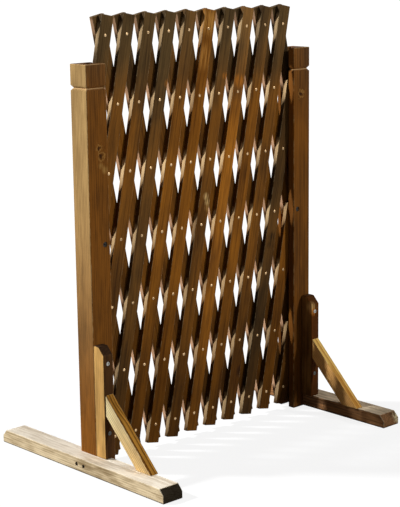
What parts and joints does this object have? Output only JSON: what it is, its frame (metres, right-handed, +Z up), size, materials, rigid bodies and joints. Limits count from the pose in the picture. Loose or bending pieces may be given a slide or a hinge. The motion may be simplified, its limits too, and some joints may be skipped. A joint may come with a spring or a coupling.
{
  "type": "expanding plant trellis",
  "caption": "Free-standing expanding wooden trellis: a riveted scissor lattice of slats between two braced posts on beam feet.",
  "frame": {"origin": "on the ground, under the middle of the panel and of the feet", "axes": "+X along the panel to the right seen from the braced front, +Y towards the back, +Z up"},
  "size_m": [0.626, 0.47, 0.8255],
  "materials": {
    "post_wood": "scorched and oiled softwood, brown with darker grain",
    "foot_wood": "pale bleached softwood with brown grain",
    "batten_wood": "orange-brown softwood",
    "brace_wood": "golden softwood with dark grain",
    "front_slat_wood": "scorched softwood slats, dark brown to orange-brown",
    "back_slat_wood": "scorched softwood slats, dark brown",
    "rivet_brass": "dull brass-plated rivets",
    "screw_steel": "zinc-plated wood screws",
    "bolt_steel": "zinc-plated bolt and nut"
  },
  "bodies": {
    "left_stand": {"post_left": "post_wood", "foot_left": "foot_wood", "batten_left": "batten_wood", "brace_left": "brace_wood", "foot_screws_left": "screw_steel", "batten_screws_left": "screw_steel", "brace_screws_left": "screw_steel", "pivot_bolt_left": "bolt_steel", "pivot_nut_left": "bolt_steel"},
    "right_stand": {"post_right": "post_wood", "foot_right": "foot_wood", "batten_right": "batten_wood", "brace_right": "brace_wood", "foot_screws_right": "screw_steel", "batten_screws_right": "screw_steel", "brace_screws_right": "screw_steel", "pivot_bolt_right": "bolt_steel", "pivot_nut_right": "bolt_steel"},
    "front_slat_01": {"front_slat_01": "front_slat_wood", "rivets_01": "rivet_brass"},
    "front_slat_02": {"front_slat_02": "front_slat_wood", "rivets_02": "rivet_brass"},
    "front_slat_03": {"front_slat_03": "front_slat_wood", "rivets_03": "rivet_brass"},
    "front_slat_04": {"front_slat_04": "front_slat_wood", "rivets_04": "rivet_brass"},
    "front_slat_05": {"front_slat_05": "front_slat_wood", "rivets_05": "rivet_brass"},
    "front_slat_06": {"front_slat_06": "front_slat_wood", "rivets_06": "rivet_brass"},
    "front_slat_07": {"front_slat_07": "front_slat_wood", "rivets_07": "rivet_brass"},
    "front_slat_08": {"front_slat_08": "front_slat_wood", "rivets_08": "rivet_brass"},
    "front_slat_09": {"front_slat_09": "front_slat_wood", "rivets_09": "rivet_brass"},
    "front_slat_10": {"front_slat_10": "front_slat_wood", "rivets_10": "rivet_brass"},
    "front_slat_11": {"front_slat_11": "front_slat_wood", "rivets_11": "rivet_brass"},
    "front_slat_12": {"front_slat_12": "front_slat_wood", "rivets_12": "rivet_brass"},
    "front_slat_13": {"front_slat_13": "front_slat_wood", "rivets_13": "rivet_brass"},
    "back_slat_01": {"back_slat_01": "back_slat_wood"},
    "back_slat_02": {"back_slat_02": "back_slat_wood"},
    "back_slat_03": {"back_slat_03": "back_slat_wood"},
    "back_slat_04": {"back_slat_04": "back_slat_wood"},
    "back_slat_05": {"back_slat_05": "back_slat_wood"},
    "back_slat_06": {"back_slat_06": "back_slat_wood"},
    "back_slat_07": {"back_slat_07": "back_slat_wood"},
    "back_slat_08": {"back_slat_08": "back_slat_wood"},
    "back_slat_09": {"back_slat_09": "back_slat_wood"},
    "back_slat_10": {"back_slat_10": "back_slat_wood"},
    "back_slat_11": {"back_slat_11": "back_slat_wood"},
    "back_slat_12": {"back_slat_12": "back_slat_wood"},
    "back_slat_13": {"back_slat_13": "back_slat_wood"}
  },
  "joints": [
    {"name": "expand", "type": "hinge", "parent": "left_stand", "child": "front_slat_02", "pos_m": [-0.25, 0.008, 0.417], "axis": [0, 1, 0], "range_deg": [-4.8, 28.5]},
    {"name": "pivot_back_slat_05", "type": "hinge", "parent": "front_slat_02", "child": "back_slat_05", "pos_m": [-0.175, 0.008, 0.78748], "axis": [0, 1, 0], "range_deg": [-57, 9.6]},
    {"name": "pivot_back_slat_04", "type": "hinge", "parent": "front_slat_02", "child": "back_slat_04", "pos_m": [-0.2, 0.008, 0.66399], "axis": [0, 1, 0], "range_deg": [-57, 9.6]},
    {"name": "pivot_back_slat_03", "type": "hinge", "parent": "front_slat_02", "child": "back_slat_03", "pos_m": [-0.225, 0.008, 0.54049], "axis": [0, 1, 0], "range_deg": [-57, 9.6]},
    {"name": "pivot_back_slat_02", "type": "hinge", "parent": "front_slat_02", "child": "back_slat_02", "pos_m": [-0.25, 0.008, 0.417], "axis": [0, 1, 0], "range_deg": [-57, 9.6]},
    {"name": "pivot_front_slat_03", "type": "hinge", "parent": "back_slat_05", "child": "front_slat_03", "pos_m": [-0.15, 0.008, 0.66399], "axis": [0, 1, 0], "range_deg": [-9.6, 57]},
    {"name": "pivot_front_slat_04", "type": "hinge", "parent": "back_slat_05", "child": "front_slat_04", "pos_m": [-0.125, 0.008, 0.54049], "axis": [0, 1, 0], "range_deg": [-9.6, 57]},
    {"name": "pivot_front_slat_05", "type": "hinge", "parent": "back_slat_05", "child": "front_slat_05", "pos_m": [-0.1, 0.008, 0.417], "axis": [0, 1, 0], "range_deg": [-9.6, 57]},
    {"name": "pivot_front_slat_06", "type": "hinge", "parent": "back_slat_05", "child": "front_slat_06", "pos_m": [-0.075, 0.008, 0.2935], "axis": [0, 1, 0], "range_deg": [-9.6, 57]},
    {"name": "pivot_front_slat_07", "type": "hinge", "parent": "back_slat_05", "child": "front_slat_07", "pos_m": [-0.05, 0.008, 0.17001], "axis": [0, 1, 0], "range_deg": [-9.6, 57]},
    {"name": "pivot_front_slat_08", "type": "hinge", "parent": "back_slat_05", "child": "front_slat_08", "pos_m": [-0.025, 0.008, 0.04651], "axis": [0, 1, 0], "range_deg": [-9.6, 57]},
    {"name": "pivot_front_slat_01", "type": "hinge", "parent": "back_slat_04", "child": "front_slat_01", "pos_m": [-0.225, 0.008, 0.78748], "axis": [0, 1, 0], "range_deg": [-9.6, 57]},
    {"name": "pivot_back_slat_06", "type": "hinge", "parent": "front_slat_03", "child": "back_slat_06", "pos_m": [-0.125, 0.008, 0.78748], "axis": [0, 1, 0], "range_deg": [-57, 9.6]},
    {"name": "pivot_back_slat_01", "type": "hinge", "parent": "front_slat_03", "child": "back_slat_01", "pos_m": [-0.25, 0.008, 0.17001], "axis": [0, 1, 0], "range_deg": [-57, 9.6]},
    {"name": "pivot_back_slat_07", "type": "hinge", "parent": "front_slat_04", "child": "back_slat_07", "pos_m": [-0.075, 0.008, 0.78748], "axis": [0, 1, 0], "range_deg": [-57, 9.6]},
    {"name": "pivot_back_slat_08", "type": "hinge", "parent": "front_slat_05", "child": "back_slat_08", "pos_m": [-0.025, 0.008, 0.78748], "axis": [0, 1, 0], "range_deg": [-57, 9.6]},
    {"name": "pivot_back_slat_09", "type": "hinge", "parent": "front_slat_06", "child": "back_slat_09", "pos_m": [0.025, 0.008, 0.78748], "axis": [0, 1, 0], "range_deg": [-57, 9.6]},
    {"name": "pivot_back_slat_10", "type": "hinge", "parent": "front_slat_07", "child": "back_slat_10", "pos_m": [0.075, 0.008, 0.78748], "axis": [0, 1, 0], "range_deg": [-57, 9.6]},
    {"name": "pivot_back_slat_11", "type": "hinge", "parent": "front_slat_08", "child": "back_slat_11", "pos_m": [0.125, 0.008, 0.78748], "axis": [0, 1, 0], "range_deg": [-57, 9.6]},
    {"name": "pivot_front_slat_09", "type": "hinge", "parent": "back_slat_06", "child": "front_slat_09", "pos_m": [0.025, 0.008, 0.04651], "axis": [0, 1, 0], "range_deg": [-9.6, 57]},
    {"name": "pivot_front_slat_10", "type": "hinge", "parent": "back_slat_07", "child": "front_slat_10", "pos_m": [0.075, 0.008, 0.04651], "axis": [0, 1, 0], "range_deg": [-9.6, 57]},
    {"name": "pivot_front_slat_11", "type": "hinge", "parent": "back_slat_08", "child": "front_slat_11", "pos_m": [0.125, 0.008, 0.04651], "axis": [0, 1, 0], "range_deg": [-9.6, 57]},
    {"name": "pivot_front_slat_12", "type": "hinge", "parent": "back_slat_09", "child": "front_slat_12", "pos_m": [0.175, 0.008, 0.04651], "axis": [0, 1, 0], "range_deg": [-9.6, 57]},
    {"name": "pivot_front_slat_13", "type": "hinge", "parent": "back_slat_10", "child": "front_slat_13", "pos_m": [0.225, 0.008, 0.04651], "axis": [0, 1, 0], "range_deg": [-9.6, 57]},
    {"name": "pivot_back_slat_12", "type": "hinge", "parent": "front_slat_09", "child": "back_slat_12", "pos_m": [0.175, 0.008, 0.78748], "axis": [0, 1, 0], "range_deg": [-57, 9.6]},
    {"name": "pivot_back_slat_13", "type": "hinge", "parent": "front_slat_10", "child": "back_slat_13", "pos_m": [0.225, 0.008, 0.78748], "axis": [0, 1, 0], "range_deg": [-57, 9.6]},
    {"name": "pivot_right_stand", "type": "hinge", "parent": "front_slat_12", "child": "right_stand", "pos_m": [0.25, 0.008, 0.417], "axis": [0, 1, 0], "range_deg": [-28.5, 4.8]}
  ],
  "couplings": [
    {"joint": "pivot_back_slat_05", "follows": "expand", "ratio": -2},
    {"joint": "pivot_back_slat_04", "follows": "expand", "ratio": -2},
    {"joint": "pivot_back_slat_03", "follows": "expand", "ratio": -2},
    {"joint": "pivot_back_slat_02", "follows": "expand", "ratio": -2},
    {"joint": "pivot_front_slat_03", "follows": "expand", "ratio": 2},
    {"joint": "pivot_front_slat_04", "follows": "expand", "ratio": 2},
    {"joint": "pivot_front_slat_05", "follows": "expand", "ratio": 2},
    {"joint": "pivot_front_slat_06", "follows": "expand", "ratio": 2},
    {"joint": "pivot_front_slat_07", "follows": "expand", "ratio": 2},
    {"joint": "pivot_front_slat_08", "follows": "expand", "ratio": 2},
    {"joint": "pivot_front_slat_01", "follows": "expand", "ratio": 2},
    {"joint": "pivot_back_slat_06", "follows": "expand", "ratio": -2},
    {"joint": "pivot_back_slat_01", "follows": "expand", "ratio": -2},
    {"joint": "pivot_back_slat_07", "follows": "expand", "ratio": -2},
    {"joint": "pivot_back_slat_08", "follows": "expand", "ratio": -2},
    {"joint": "pivot_back_slat_09", "follows": "expand", "ratio": -2},
    {"joint": "pivot_back_slat_10", "follows": "expand", "ratio": -2},
    {"joint": "pivot_back_slat_11", "follows": "expand", "ratio": -2},
    {"joint": "pivot_front_slat_09", "follows": "expand", "ratio": 2},
    {"joint": "pivot_front_slat_10", "follows": "expand", "ratio": 2},
    {"joint": "pivot_front_slat_11", "follows": "expand", "ratio": 2},
    {"joint": "pivot_front_slat_12", "follows": "expand", "ratio": 2},
    {"joint": "pivot_front_slat_13", "follows": "expand", "ratio": 2},
    {"joint": "pivot_back_slat_12", "follows": "expand", "ratio": -2},
    {"joint": "pivot_back_slat_13", "follows": "expand", "ratio": -2},
    {"joint": "pivot_right_stand", "follows": "expand", "ratio": -1}
  ]
}
